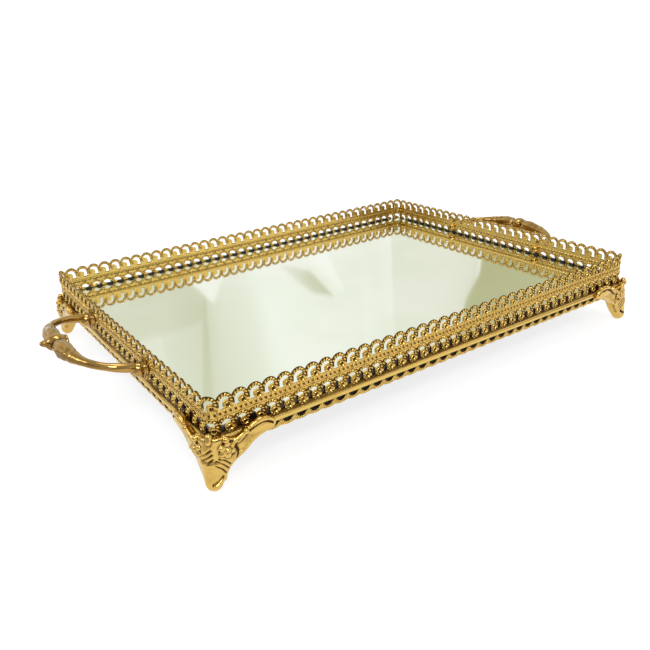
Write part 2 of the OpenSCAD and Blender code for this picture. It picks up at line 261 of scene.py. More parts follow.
def repeat_of_strip():
    """One repeat of the stamped strip, from half a pitch before an arch's middle to half after:
    +X along the strip, -Y out of the tray, +Z up from the strip's lowest edge."""
    half = PITCH / 2
    unit = Solid()

    # The plate, scalloped above, with the openings of both rows
    top = [p for p in arc(0, ROWS[0], ARCH_OUT, 25.0, 155.0, 14)]
    shoulder = ROWS[0] + ARCH_OUT * math.sin(math.radians(25.0))
    outline = [(-half, PLATE_FOOT)] + [(-half + i * PITCH / 7, PLATE_FOOT) for i in range(1, 7)]
    outline += [(half, PLATE_FOOT)]
    rises = 12
    outline += [(half, PLATE_FOOT + (shoulder - PLATE_FOOT) * i / rises) for i in range(1, rises + 1)]
    outline += top[1:-1]
    outline += [(-half, PLATE_FOOT + (shoulder - PLATE_FOOT) * i / rises) for i in range(rises, 0, -1)]
    plate(unit, outline, [scroll_opening(z) for z in ROWS], 0, -PIERCED_T, rope_shade_mark)

    # The skirt below the moulding
    foot = [(-half + i * PITCH / 10, 0.8 * abs(2 * i / 10 - 1) ** 2.2) for i in range(11)]
    skirt = foot + [(half, 3.0), (half, 5.0)]
    skirt += [(half - i * PITCH / 7, 5.0) for i in range(1, 7)] + [(-half, 5.0), (-half, 3.0)]
    plate(unit, skirt, [half_moon()], SKIRT_D, SKIRT_D - STRIP_T, skirt_mark)

    # The hollow and the half-round moulding, one bar along the strip; its marks paint shade in the hollow, on
    # the back and under the bar, and a highlight on the front of the bar
    profile = [(-STRIP_T, 4.7), (-STRIP_T, 9.2), (0.05, 9.4), (0.2, 8.75), (0.55, 8.15), (1.05, 7.72),
               (1.5, 7.6), (1.95, 7.3), (2.2, 6.75), (2.25, 6.1), (2.15, 5.45), (1.85, 4.95),
               (1.4, 4.7)]
    moulding_shade_marks = [0, 0, 0.1, 0.1, 0.15, 0.3, 0.7, 0.95, 1, 1, 0.9, 0.6, 0.3]
    steps, n = 7, len(profile)
    points = [(-half + i * PITCH / steps, -d, z) for i in range(steps + 1) for d, z in profile]
    faces = [(i * n + k, i * n + (k + 1) % n, (i + 1) * n + (k + 1) % n, (i + 1) * n + k)
             for i in range(steps) for k in range(n)]
    unit.add(points, faces, moulding_shade_marks * (steps + 1))

    for z in ROWS:
        # Slanted strands of the rope that makes the arch, from its right end to its left shoulder
        for i in range(8):
            a = math.radians(-28 + i * 27)
            at = (ROPE_R * math.cos(a), PIERCED_T / -2, z + ROPE_R * math.sin(a))
            pip(unit, at, (1.35, 1.05, 0.74), a - math.radians(38), mark=(0.0, 1.0))
        # The eye under the crescent, and the lobes round it
        dish(unit, (1.75, z - 2.2), 2.0, 0.85, 14, 0.12)
        for x, h, turn in ((-0.15, -1.3, 1.0), (3.9, -0.4, -0.9), (4.15, -2.6, -1.5), (1.0, -4.6, 0.0),
                           (3.2, -4.5, 0.3)):
            pip(unit, (x, 0.05, z + h), (0.85, 0.5, 0.5), turn, mark=(0.0, 1.0))
    for x in (-3, 0, 3):
        dish(unit, (x, STUDS_Z), 1.3, 0.4)
    for x in (-1.5, 1.5, 4.5):
        for up in (-1.25, 1.25):
            pip(unit, (x, -0.05, STUDS_Z + up), (0.42, 0.4, 0.42))
        pip(unit, (x, -PIERCED_T, STUDS_Z), (0.4, 0.28, 0.8), mark=(0.6, 1.0))

    # Fine ribs above and below the studs, marked bright on their outer half as a painted highlight and dark
    # on their inner half as painted shade where they meet the plate
    ring = [(0.42 * math.cos(math.radians(a)), 0.36 * math.sin(math.radians(a)))
            for a in range(-90, 271, 60)][:6]
    for z in (STUDS_Z + 2.15, STUDS_Z - 2.15):
        points = [(-half + i * PITCH / 7, -0.02 - x, z + h) for i in range(8) for x, h in ring]
        faces = [(i * 6 + k, i * 6 + (k + 1) % 6, (i + 1) * 6 + (k + 1) % 6, (i + 1) * 6 + k)
                 for i in range(7) for k in range(6)]
        unit.add(points, faces, [0.95 if x > 0 else 0.0 for x, h in ring] * 8)

    # Beads round the half-moons and between them
    for i in range(6):
        a = math.radians(207 + i * 25.5)
        pip(unit, (0.05 + 3.5 * math.cos(a), SKIRT_D - 0.2, MOON_Z + 0.4 + 3.05 * math.sin(a)),
            (0.6, 0.75, 0.6), mark=(0.1, 1.3))
    pip(unit, (half - 0.15, SKIRT_D - 0.2, 3.6), (0.7, 0.75, 0.7), mark=(0.1, 1.3))
    for i in range(5):
        x = (i - 2) * PITCH / 5
        pip(unit, (x + PITCH / 10, SKIRT_D - 0.25, 0.62 + 0.8 * abs(2 * x / PITCH + 0.2) ** 2.2),
            (0.55, 0.7, 0.5), mark=(0.1, 1.3))
    return outward(unit.made("strip_repeat"))


# ---------- node trees ----------

class Link:
    """The value of a socket: arithmetic on it adds Math nodes to its tree."""

    def __init__(self, nodes, socket):
        self.nodes, self.socket = nodes, socket

    def math(self, operation, first, second=0.0, third=0.0):
        return self.nodes.add("ShaderNodeMath", {"operation": operation},
                              {0: first, 1: second, 2: third})

    def __add__(self, other): return self.math("ADD", self, other)
    def __radd__(self, other): return self.math("ADD", other, self)
    def __sub__(self, other): return self.math("SUBTRACT", self, other)
    def __rsub__(self, other): return self.math("SUBTRACT", other, self)
    def __mul__(self, other): return self.math("MULTIPLY", self, other)
    def __rmul__(self, other): return self.math("MULTIPLY", other, self)
    def __truediv__(self, other): return self.math("DIVIDE", self, other)
    def __pow__(self, other): return self.math("POWER", self, other)
    def __neg__(self): return self.math("MULTIPLY", self, -1.0)

    def within(self, low, high):
        return self.math("MINIMUM", self.math("MAXIMUM", self, low), high)

    def band(self, low, high):
        """0 below low, 1 above high, smooth between."""
        return self.nodes.add("ShaderNodeMapRange", {"interpolation_type": "SMOOTHSTEP"},
                              {"Value": self, "From Min": low, "From Max": high})

    def out(self, name):
        return Link(self.nodes, self.socket.node.outputs[name])


class Nodes:
    """Adds nodes to a tree, each from its type, its settings and what goes into its sockets."""

    def __init__(self, tree):
        self.tree = tree

    def add(self, kind, settings=None, inputs=None, output=0):
        node = self.tree.nodes.new(kind)
        for key, value in (settings or {}).items():
            if key == "stops":
                stops = node.color_ramp.elements
                for i, (place, colour) in enumerate(value):
                    stop = stops[i] if i < len(stops) else stops.new(place)
                    stop.position, stop.color = place, colour
            else:
                setattr(node, key, value)
        for key, value in (inputs or {}).items():
            if isinstance(value, Link):
                self.tree.links.new(value.socket, node.inputs[key])
            else:
                node.inputs[key].default_value = value
        return Link(self, node.outputs[output]) if node.outputs else node

    def mix(self, factor, first, second):
        """One colour turning into another."""
        return self.add("ShaderNodeMix", {"data_type": "RGBA"}, {0: factor, 6: first, 7: second}, 2)


# ---------- finishes ----------

def rgb(red, green, blue):
    """A colour from its screen values, 0 to 255."""
    def linear(v):
        v /= 255
        return v / 12.92 if v <= 0.04045 else ((v + 0.055) / 1.055) ** 2.4
    return (linear(red), linear(green), linear(blue), 1.0)


def finish(name, build, **uniform):
    """A material: build(nodes, place) gives what varies, and uniform is set on the shader itself."""
    material = bpy.data.materials.new(name)
    material.use_nodes = True
    tree = material.node_tree
    shader = tree.nodes["Principled BSDF"]
    nodes = Nodes(tree)
    place = nodes.add("ShaderNodeTexCoord").out("Object")
    for key, value in build(nodes, place).items():
        tree.links.new(value.socket, shader.inputs[key])
    for key, value in uniform.items():
        shader.inputs[key.replace("_", " ")].default_value = value
    return material


def noise(nodes, place, scale, detail=3.0, roughness=0.55, stretch=None):
    if stretch:
        place = nodes.add("ShaderNodeMapping", None, {"Vector": place, "Scale": stretch})
    return nodes.add("ShaderNodeTexNoise", None,
                     {"Vector": place, "Scale": scale, "Detail": detail, "Roughness": roughness})


def gold(name, bright, shade_and_specks, patina, dull, pitted=0.3):
    """Brass-coloured plating: painted darker in the hollows of the relief as painted shade, uneven, with fine
    pits.
    """
    def build(nodes, place):
        relief = nodes.add("ShaderNodeAttribute", {"attribute_name": "relief"}).out("Fac")
        clouds = noise(nodes, place, 45, 4)
        grain = noise(nodes, place, 700, 3)
        specks = noise(nodes, place, 1500, 2).band(0.6, 0.72)
        # Painted shade: low relief marks turn the colour towards the shade colour, and high ones keep it
        # bright
        raised = (relief + (grain - 0.5) * 0.5).band(0.05, 0.75)
        colour = nodes.mix(raised, shade_and_specks, bright)
        colour = nodes.mix(clouds.band(0.5, 0.75) * 0.45, colour, patina)
        colour = nodes.mix(specks * (1 - raised) * 0.6, colour, shade_and_specks)
        rough = dull + (1 - raised) * 0.16 + (clouds - 0.5) * 0.16 + (grain - 0.5) * 0.12
        height = noise(nodes, place, 260, 3) * 0.7 + grain * 0.3
        bump = nodes.add("ShaderNodeBump", None,
                         {"Strength": pitted, "Distance": 0.0004, "Height": height})
        return {"Base Color": colour, "Roughness": rough.within(0.08, 0.7), "Normal": bump}
    return finish(name, build, Metallic=1.0)


def silvered_glass():
    """The mirror: pale silver under faintly green glass, with a soft haze."""
    def build(nodes, place):
        haze = noise(nodes, place, 9, 3)
        dust = noise(nodes, place, 900, 2)
        colour = nodes.mix(haze.band(0.4, 0.65), rgb(240, 245, 232), rgb(247, 249, 241))
        rough = 0.035 + haze * 0.03 + dust.band(0.6, 0.75) * 0.05
        bump = nodes.add("ShaderNodeBump", None,
                         {"Strength": 0.05, "Distance": 0.0006, "Height": noise(nodes, place, 22, 2)})
        return {"Base Color": colour, "Roughness": rough, "Normal": bump}
    return finish("silvered glass", build, Metallic=1.0)


def speckled(name, base, light, scale, rough, bumpiness, distance=0.0003):
    """A dark or pale matt finish with a fine uneven grain."""
    def build(nodes, place):
        grain = noise(nodes, place, scale, 5)
        clouds = noise(nodes, place, scale / 12, 3)
        colour = nodes.mix((grain * 0.6 + clouds * 0.4).band(0.35, 0.7), base, light)
        bump = nodes.add("ShaderNodeBump", None,
                         {"Strength": bumpiness, "Distance": distance, "Height": grain})
        return {"Base Color": colour, "Roughness": (rough + (clouds - 0.5) * 0.3).within(0.1, 1),
                "Normal": bump}
    return finish(name, build)


GOLD_STRIP = gold("gold of the strip", rgb(219, 185, 102), rgb(78, 50, 15), rgb(190, 150, 70), 0.2)
GOLD_FEET = gold("gold of the feet", rgb(214, 178, 97), rgb(66, 42, 15), rgb(182, 143, 69), 0.14, 0.14)
# The handles are the same brass as the strip, painted darker as shade for the darker surroundings they stand
# in
GOLD_HANDLES_SHADED = gold("gold of the handles", rgb(176, 140, 78), rgb(52, 32, 12), rgb(142, 106, 52), 0.12, 0.1)
GOLD_PIN = gold("gold of the pins", rgb(228, 188, 100), rgb(92, 60, 18), rgb(204, 156, 72), 0.25)
STEEL = gold("plated screws", rgb(206, 198, 170), rgb(112, 100, 72), rgb(186, 170, 128), 0.28)
MIRROR = silvered_glass()
GLASS_EDGE = speckled("glass edge", rgb(176, 190, 168), rgb(226, 236, 220), 400, 0.22, 0.1)
BOARD = speckled("black board", rgb(14, 14, 13), rgb(34, 33, 31), 900, 0.55, 0.25)
BAND = speckled("black edge band", rgb(16, 17, 15), rgb(30, 31, 27), 700, 0.38, 0.15)
FELT = speckled("felt", rgb(12, 12, 12), rgb(46, 45, 44), 1600, 0.95, 0.8, 0.0006)
PAD = speckled("adhesive pads", rgb(205, 203, 196), rgb(236, 234, 228), 1200, 0.8, 0.3)


# ---------- the strip round the tray ----------

def strip_tree():
    """Lays a repeat along a side as often as is asked, bends it round the corner at the far end and
    puts it in its place."""
    tree = bpy.data.node_groups.new("gallery strip", "GeometryNodeTree")
    face = tree.interface
    face.new_socket("Geometry", in_out="OUTPUT", socket_type="NodeSocketGeometry")
    kinds = {"Repeat": "Object", "Repeats": "Int", "Pitch": "Float", "Bend Radius": "Float",
             "Lowest Edge": "Float", "Corner": "Vector", "Turn": "Float", "Finish": "Material"}
    for name, kind in kinds.items():
        face.new_socket(name, in_out="INPUT", socket_type=f"NodeSocket{kind}")
    nodes = Nodes(tree)
    given = nodes.add("NodeGroupInput")
    pitch, radius = given.out("Pitch"), given.out("Bend Radius")

    def vector(x=0.0, y=0.0, z=0.0):
        return nodes.add("ShaderNodeCombineXYZ", None, {0: x, 1: y, 2: z})

    line = nodes.add("GeometryNodeMeshLine", None, {
        "Count": given.out("Repeats"), "Start Location": vector(pitch), "Offset": vector(pitch)})
    unit = nodes.add("GeometryNodeObjectInfo", None, {"Object": given.out("Repeat")}).out("Geometry")
    laid = nodes.add("GeometryNodeInstanceOnPoints", None, {"Points": line, "Instance": unit})
    joined = nodes.add("GeometryNodeMergeByDistance", None, {
        "Geometry": nodes.add("GeometryNodeRealizeInstances", None, {"Geometry": laid}),
        "Distance": 1e-6})

    # The straight stretch begins half a bend after the corner's middle, and the next bend follows it
    at = nodes.add("ShaderNodeSeparateXYZ", None, {0: nodes.add("GeometryNodeInputPosition")})
    along, out, up = at.out("X"), -at.out("Y"), at.out("Z")
    arc_length = radius * (math.pi / 2)
    bend_start = pitch * given.out("Repeats") - arc_length * 0.5
    turn = ((along - bend_start) / radius).within(0.0, math.pi / 2)
    beyond = (along - (bend_start + arc_length)).within(0.0, 1.0)
    sine = turn.math("SINE", turn)
    cosine = turn.math("COSINE", turn)
    before = along.math("MINIMUM", along, bend_start) - arc_length * 0.5
    bent = vector(before + (radius + out) * sine, radius - (radius + out) * cosine + beyond, up)
    bent = bent.nodes.add("GeometryNodeSetPosition", None, {"Geometry": joined, "Position": bent})

    placed = nodes.add("GeometryNodeTransform", None, {
        "Geometry": bent, "Translation": given.out("Corner"),
        "Rotation": vector(0.0, 0.0, given.out("Turn"))})
    raised = nodes.add("GeometryNodeTransform", None, {
        "Geometry": placed, "Translation": vector(0.0, 0.0, given.out("Lowest Edge"))})
    smooth = nodes.add("GeometryNodeSetShadeSmooth", {"domain": "FACE"}, {"Geometry": raised})
    sharp = nodes.add("GeometryNodeInputMeshEdgeAngle").out("Unsigned Angle")
    sharp = nodes.add("FunctionNodeCompare", {"operation": "GREATER_THAN"}, {0: sharp, 1: 0.75})
    creased = nodes.add("GeometryNodeSetShadeSmooth", {"domain": "EDGE"}, {
        "Geometry": smooth, "Selection": sharp, "Shade Smooth": False})
    whole = nodes.add("GeometryNodeRealizeInstances", None, {"Geometry": creased})
    painted = nodes.add("GeometryNodeSetMaterial", None,
                        {"Geometry": whole, "Material": given.out("Finish")})
    nodes.add("NodeGroupOutput", None, {"Geometry": painted})
    return tree


def as_plain(item, name):
    """The evaluated object as a plain mesh on a new object; the old one goes."""
    mesh = bpy.data.meshes.new_from_object(item.evaluated_get(bpy.context.evaluated_depsgraph_get()))
    made = bpy.data.objects.new(name, mesh)
    bpy.context.scene.collection.objects.link(made)
    mesh.name = name
    bpy.data.objects.remove(item)
    return made


def close_ends(item):
    work = bmesh.new()
    work.from_mesh(item.data)
    bmesh.ops.holes_fill(work, edges=[e for e in work.edges if e.is_boundary], sides=0)
    work.to_mesh(item.data)
    work.free()
    return item


def start_of_side(side):
    """Where a side's straight stretch starts: 0 front, 1 right, 2 back, 3 left."""
    lengthwise = side % 2 == 0
    x = TRAY_L / 2 - (BEND_R if lengthwise else 0)
    y = TRAY_W / 2 - (0 if lengthwise else BEND_R)
    return ((-x, -y), (x, -y), (x, y), (-x, y))[side]


def strip_on_side(tree, repeat, side):
    lengthwise = side % 2 == 0
    corner = start_of_side(side)
    sizes = {"Repeat": repeat, "Repeats": LONG_REPEATS if lengthwise else SHORT_REPEATS,
             "Pitch": PITCH * MM, "Bend Radius": BEND_R * MM, "Lowest Edge": STRIP_Z * MM,
             "Corner": (corner[0] * MM, corner[1] * MM, 0.0), "Turn": side * math.pi / 2,
             "Finish": GOLD_STRIP}
    carrier = bpy.data.objects.new("carrier", bpy.data.meshes.new("carrier"))
    bpy.context.scene.collection.objects.link(carrier)
    modifier = carrier.modifiers.new("strip", "NODES")
    modifier.node_group = tree
    for socket in tree.interface.items_tree:
        if socket.in_out == "INPUT":
            modifier[socket.identifier] = sizes[socket.name]
    name = "gallery_" + ("front", "right", "back", "left")[side]
    strip = close_ends(as_plain(carrier, name + "_stamped"))
    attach(strip, "root")
    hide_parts(name)
    return strip


repeat = repeat_of_strip()
tree = strip_tree()
for side in range(4):
    strip_on_side(tree, repeat, side)
bpy.data.objects.remove(repeat)


# ---------- cast pieces ----------

def smooth_line(points, steps=6, closed=False):
    """Points on a smooth curve through these, steps to each stretch."""
    n = len(points)
    made = []
    for i in range(n if closed else n - 1):
        near = [points[k % n] if closed else points[min(max(k, 0), n - 1)] for k in range(i - 1, i + 3)]
        a, b, c, d = (Vector(p) for p in near)
        for j in range(steps):
            t = j / steps
            made.append(0.5 * (2 * b + (c - a) * t + (2 * a - 5 * b + 4 * c - d) * t * t
                               + (3 * b - a - 3 * c + d) * t ** 3))
    return made if closed else made + [Vector(points[-1])]


def blob(solid, at, size, frame=None, sides=20, bands=12):
    """An egg-shaped lump. Its frame's columns are the directions of its three half lengths."""
    frame = frame or Matrix.Identity(3)
    at = Vector(at)
    points, faces = [], []
    for band in range(bands + 1):
        polar = math.pi * band / bands
        for k in range(1 if band in (0, bands) else sides):
            a = 2 * math.pi * k / sides
            p = Vector((size[0] * math.sin(polar) * math.cos(a),
                        size[1] * math.sin(polar) * math.sin(a), size[2] * math.cos(polar)))
            points.append(at + frame @ p)
    last = len(points) - 1
    for k in range(sides):
        n = (k + 1) % sides
        faces.append((0, 1 + k, 1 + n))
        for band in range(bands - 2):
            a, b = 1 + band * sides, 1 + (band + 1) * sides
            faces.append((a + k, b + k, b + n, a + n))
        end = 1 + (bands - 2) * sides
        faces.append((end + n, end + k, last))
    solid.add(points, faces, 0.5)


def rod(solid, line, radii, sides=12, flat=1.0):
    """A bar along a line, with a radius at each point and round ends."""
    line = [Vector(p) for p in line]
    points, faces = [], []
    for i, p in enumerate(line):
        ahead = (line[min(i + 1, len(line) - 1)] - line[max(i - 1, 0)]).normalized()
        side = ahead.cross(Vector((0, 0, 1)))
        side = side.normalized() if side.length > 1e-6 else Vector((1, 0, 0))
        up = side.cross(ahead)
        for k in range(sides):
            a = 2 * math.pi * k / sides
            points.append(p + radii[i] * (math.cos(a) * flat * side + math.sin(a) * up))
    for i in range(len(line) - 1):
        for k in range(sides):
            n = (k + 1) % sides
            faces.append((i * sides + k, i * sides + n, (i + 1) * sides + n, (i + 1) * sides + k))
    faces.append(tuple(range(sides))[::-1])
    faces.append(tuple((len(line) - 1) * sides + k for k in range(sides)))
    solid.add(points, faces, 0.5)


def fused(solid, name, voxel, rounds):
    """The parts of a casting run together into one skin, with its sharp meetings softened."""
    item = outward(solid.made(name + "_parts"))
    remesh = item.modifiers.new("skin", "REMESH")
    remesh.mode, remesh.voxel_size, remesh.use_smooth_shade = "VOXEL", voxel * MM, True
    made = as_plain(item, name)
    points, _ = skin(made.data)
    lay(made.data, evened(made.data, points, rounds))
    return made


def skin(mesh):
    """Points and normals in millimetres."""
    points = np.empty(len(mesh.vertices) * 3)
    normals = np.empty(len(mesh.vertices) * 3)
    mesh.vertices.foreach_get("co", points)
    mesh.vertex_normals.foreach_get("vector", normals)
    return points.reshape(-1, 3) / MM, normals.reshape(-1, 3)


def lay(mesh, points):
    mesh.vertices.foreach_set("co", (points * MM).ravel())
    mesh.update()


def evened(mesh, points, rounds):
    """The points moved halfway to their neighbours' middle, several times."""
    edges = np.empty(len(mesh.edges) * 2, dtype=np.int64)
    mesh.edges.foreach_get("vertices", edges)
    a, b = edges.reshape(-1, 2).T
    count = np.bincount(np.concatenate((a, b)), minlength=len(points))[:, None]
    for _ in range(rounds):
        total = np.zeros_like(points)
        for axis in range(points.shape[1]):
            total[:, axis] = (np.bincount(a, points[b, axis], len(points))
                              + np.bincount(b, points[a, axis], len(points)))
        points = 0.5 * points + 0.5 * total / count
    return points


def paint_relief_shade(item, hollow=0.0, reach=0.35):
    """Marks hollows low and ridges high, so that the finish paints shade into the hollows, with hollow as
    further painted shade.
    """
    points, normals = skin(item.data)
    soft = evened(item.data, points, 24)
    height = ((points - soft) * normals).sum(axis=1, keepdims=True) / reach
    height = evened(item.data, height, 2)[:, 0]
    mark = item.data.attributes.get("relief") or item.data.attributes.new("relief", "FLOAT", "POINT")
    mark.data.foreach_set("value", np.clip(0.55 + height - hollow, 0, 1))


def settle(item, matrix, node, material):
    """Puts a casting in its place, its faces outwards, and stands it for its CAD node."""
    item.data.transform(matrix)
    if matrix.to_3x3().determinant() < 0:
        item.data.flip_normals()
    item.data.materials.clear()
    item.data.materials.append(material)
    item.data.shade_smooth()
    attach(item, "root")
    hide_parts(node)


def metres(x, y, z):
    return Matrix.Translation((x * MM, y * MM, z * MM))


# ---------- feet ----------

FOOT_IN, FOOT_OUT = 2.4, 5.0    # inner and outer faces, in front of the strip
CORNER_R = BEND_R + FOOT_OUT
WING = [(1.0, 8.2), (4.6, 8.4), (6.6, 10.8), (8.1, 13.0), (10.4, 15.0), (13.4, 16.8), (17, 18.8), (21, 21.8),
        (25, 24.2), (30, 25.6), (34.2, 26.4), (36.3, 28.6), (35.6, 31.6), (31, 34.4), (26, 34.6),
        (22, 33), (18, 31.8), (14.5, 29.4), (11, 29.2), (7.5, 30.7), (4.6, 31.4)]
LEAF_LIP = [(19.3, 31.3), (23, 33), (27.3, 33.9), (31.5, 33.2), (35.2, 30.7)]
# Grooves in each face: their points, depth and half width
GROOVES = [
    ([(19.5, 29.7), (23.5, 31.5), (27.5, 32.3), (31.4, 31.6), (34.2, 29.6)], 0.7, 0.45),
    ([(10.6, 25.6), (12.6, 21.5), (11.5, 16.8)], 0.3, 0.7),
]
# Grooves in the face along the long side only, by the ridge and over the toe
LONG_GROOVES = [
    ([(-4.2, 22.2), (-1.4, 25.8)], 0.8, 0.38), ([(-4.2, 19.6), (-1.0, 23.4)], 0.8, 0.38),
    ([(-4.0, 17.2), (-0.8, 20.8)], 0.7, 0.36),
    ([(0.2, 19.6), (3.2, 16.8), (6.4, 12.8)], 0.5, 0.4), ([(-0.6, 17.2), (2.2, 14.4), (4.6, 10.8)], 0.5, 0.4),
    ([(1.6, 20.6), (4.6, 18.4), (7.4, 15.2)], 0.5, 0.4),
    ([(-2.8, 5.8), (0.0, 7.0), (2.4, 8.8)], 1.6, 0.85),
]
# Swellings: middle, half lengths and height
SWELLINGS = [
    ((-1.5, 19.5), (7, 8), 1.5), ((28, 29.2), (6.5, 2.6), 0.9), ((14.5, 22.5), (3, 5), 0.5),
    ((6.5, 18.5), (3.5, 4.5), 0.5),
]


def face_point(s, z, lift=0.0):
    """A point on the front face of a foot, s along the side from the corner."""
    reach = CORNER_R + lift
    if s >= BEND_R:
        return Vector((s, -FOOT_OUT - lift, z))
    return Vector((s, BEND_R - math.sqrt(reach ** 2 - (BEND_R - s) ** 2), z))


def swollen(s, z):
    """How far the swellings stand out of a face."""
    return sum(rise * np.exp(-((s - cs) / rs) ** 2 - ((z - cz) / rz) ** 2)
               for (cs, cz), (rs, rz), rise in SWELLINGS)


def grooved(s, z, grooves):
    """How deep the grooves are cut into a face."""
    cut = np.zeros_like(s)
    for line, depth, width in grooves:
        line = smooth_line([(p[0], p[1], 0) for p in line], 4)
        away = np.full_like(s, 99.0)
        for a, b in zip(line, line[1:]):
            run = b - a
            t = np.clip(((s - a.x) * run.x + (z - a.y) * run.y) / run.length_squared, 0, 1)
            away = np.minimum(away, np.hypot(s - a.x - t * run.x, z - a.y - t * run.y))
        cut += depth * np.exp(-(away / width) ** 2)
    return cut


def foot_casting():
    """A foot at its corner: there +X and +Y run inwards along the two sides."""
    body = Solid()
    other = Matrix(((0, 1, 0), (1, 0, 0), (0, 0, 1)))     # the same on the other side of the corner

    wing = smooth_line([(s, z, 0) for s, z in WING], 4, closed=True)
    n = len(wing)
    points = [(p.x, -d, p.y) for d in (FOOT_IN, FOOT_OUT) for p in wing]
    faces = [tuple(range(n)), tuple(range(2 * n - 1, n - 1, -1))]
    faces += [(k, n + k, n + (k + 1) % n, (k + 1) % n) for k in range(n)]
    for turn in (Matrix.Identity(3), other):
        body.add([turn @ Vector(p) for p in points], faces, 0.5)

    # The corner between the two faces
    profile = [(BEND_R + FOOT_IN, 6), (CORNER_R - 1, 5), (CORNER_R, 8), (CORNER_R, 30),
               (CORNER_R - 0.5, 31.4), (BEND_R + FOOT_IN, 31.6)]
    steps, n = 10, len(profile)
    points = []
    for i in range(steps + 1):
        a = math.radians(178 + 94 * i / steps)
        points += [(BEND_R + r * math.cos(a), BEND_R + r * math.sin(a), z) for r, z in profile]
    faces = [(i * n + k, i * n + (k + 1) % n, (i + 1) * n + (k + 1) % n, (i + 1) * n + k)
             for i in range(steps) for k in range(n)]
    faces += [tuple(range(n)), tuple(range(steps * n, steps * n + n))[::-1]]
    body.add(points, faces, 0.5)

    # The toe, and the shin that leans out over it
    for into, z, wide, high in ((-0.9, 5.0, 4.9, 5.0), (-0.3, 6.9, 5.4, 5.0), (0.3, 8.9, 5.9, 5.4),
                                (0.9, 11.2, 6.3, 5.6), (1.5, 13.8, 6.7, 5.6), (2.1, 16.6, 7.1, 5.4)):
        blob(body, (into, into, z), (wide, wide, high), None, 32, 20)
    # The curled end at the top of the corner
    blob(body, (-1.3, -1.3, 32.6), (1.9, 1.9, 2.0))
    blob(body, (-2.2, -2.2, 30.6), (1.5, 1.5, 2.2))

    for turn in (Matrix.Identity(3), other):
        def put(s, z, size, lift=0.0, tilt=0.0):
            frame = turn @ Matrix.Rotation(tilt, 3, "Y")
            blob(body, turn @ face_point(s, z, lift), size, frame, 14, 8)

        # The rosette: petals round a ball
        middle = (6.6, 24.4)
        for k in range(6):
            a = math.radians(30 + k * 60)
            put(middle[0] + 3.1 * math.cos(a), middle[1] + 3.1 * math.sin(a), (2.0, 1.3, 1.75), 0.2, -a)
        put(middle[0], middle[1], (1.7, 1.9, 1.7), 0.8)
        put(6.2, 30.2, (1.9, 1.9, 1.9), 0.5)
        put(18, 30.8, (1.75, 1.8, 1.75), 0.5)
        put(11.6, 27.2, (1.0, 1.0, 1.0), 0.3)
        put(14.6, 20.2, (0.9, 0.6, 0.9), 0.3)
        for ends in (((10.8, 27.6), (16.9, 30.4)), ((12.8, 26.3), (17.6, 29.4))):
            line = smooth_line([turn @ face_point(s, z, 0.25) for s, z in ends], 5)
            rod(body, line, [0.75] * len(line))
        line = smooth_line([turn @ face_point(s, z, -0.2) for s, z in LEAF_LIP], 5)
        swell = [0.7 + 0.9 * math.sin(math.pi * i / (len(line) - 1)) for i in range(len(line))]
        rod(body, line, swell)

    # The shelf under the tray, behind the faces
    shelf = [(BEND_R, -FOOT_IN - 1), (15, -FOOT_IN - 1), (15, 8), (8, 15), (-FOOT_IN - 1, 15),
             (-FOOT_IN - 1, BEND_R)]
    n = len(shelf)
    points = [(x, y, z) for z in (18.3, 21.1) for x, y in shelf]
    faces = [tuple(range(n)), tuple(range(2 * n - 1, n - 1, -1))]
    faces += [(k, (k + 1) % n, n + (k + 1) % n, n + k) for k in range(n)]
    body.add(points, faces, 0.5)

    foot = fused(body, "foot", 0.38, 1)
    points, _ = skin(foot.data)
    # The shin and toe run smoothly into the wings
    low = np.clip((19 - points[:, 2:]) / 6, 0, 1)
    lay(foot.data, points + low * (evened(foot.data, points, 26) - points))
    points, normals = skin(foot.data)
    soft = evened(foot.data, normals, 6)
    shown = points[:, :2].min(axis=1) < 0
    hollow = np.zeros(len(points))
    for across, along, grooves in ((1, 0, GROOVES + LONG_GROOVES), (0, 1, GROOVES)):
        weight = np.clip(-soft[:, across], 0, 1) * shown
        cut = grooved(points[:, along], points[:, 2], grooves)
        points[:, across] -= weight * (swollen(points[:, along], points[:, 2]) - cut)
        # Painted shade in the grooves: each darkens the relief mark by its depth
        hollow += weight * cut * 0.45
    # It stands on the ground on a small flat
    low = points[:, 2].min()
    points[:, 2] = np.maximum(points[:, 2], low + 0.25)
    points[:, 2] -= points[:, 2].min()
    lay(foot.data, points)
    paint_relief_shade(foot, hollow)
    return foot


foot = foot_casting()
for left in (True, False):
    for front in (True, False):
        sx, sy = (-1 if left else 1), (-1 if front else 1)
        name = ("front" if front else "rear") + ("_left" if left else "_right") + "_foot"
        item = bpy.data.objects.new(name + "_cast", foot.data.copy())
        bpy.context.scene.collection.objects.link(item)
        settle(item, metres(sx * TRAY_L / 2, sy * TRAY_W / 2, 0) @ Matrix.Diagonal((-sx, -sy, 1, 1)),
               name, GOLD_FEET)
bpy.data.objects.remove(foot)


# ---------- handles ----------

HALF_SPAN = 49.5
HANDLE_REACH = 36.8
HANDLE_Z = 39.1
LEFT_RISE, RIGHT_RISE = 0.245, 0.12    # rise of a handle for each millimetre that it reaches out
OVAL = 0.7
# Radius of the bar against the distance from the handle's middle, as a share of half its span
BAR = [(0, 3.8), (0.08, 4.4), (0.16, 5.2), (0.27, 5.5), (0.4, 4.8), (0.52, 3.9), (0.62, 3.2), (0.75, 2.6),
       (0.9, 2.4), (1, 3.0)]
# Low swells where the leaf ends and the plain arm begins: share, half width, height
RINGS = [(0.53, 0.02, 0.3), (0.585, 0.02, 0.25)]


def between(table, x):
    for (x0, y0), (x1, y1) in zip(table, table[1:]):
        if x <= x1:
            t = (x - x0) / (x1 - x0)
            return y0 + (y1 - y0) * t * t * (3 - 2 * t)
    return table[-1][1]


def bar_point(turn, rise):
    """The bar's middle line, from one knuckle (0) to the other (pi)."""
    out = HANDLE_REACH * max(math.sin(turn), 0) ** OVAL
    c = math.cos(turn)
    return Vector((math.copysign(abs(c) ** OVAL, c) * HALF_SPAN, -out, rise * out))


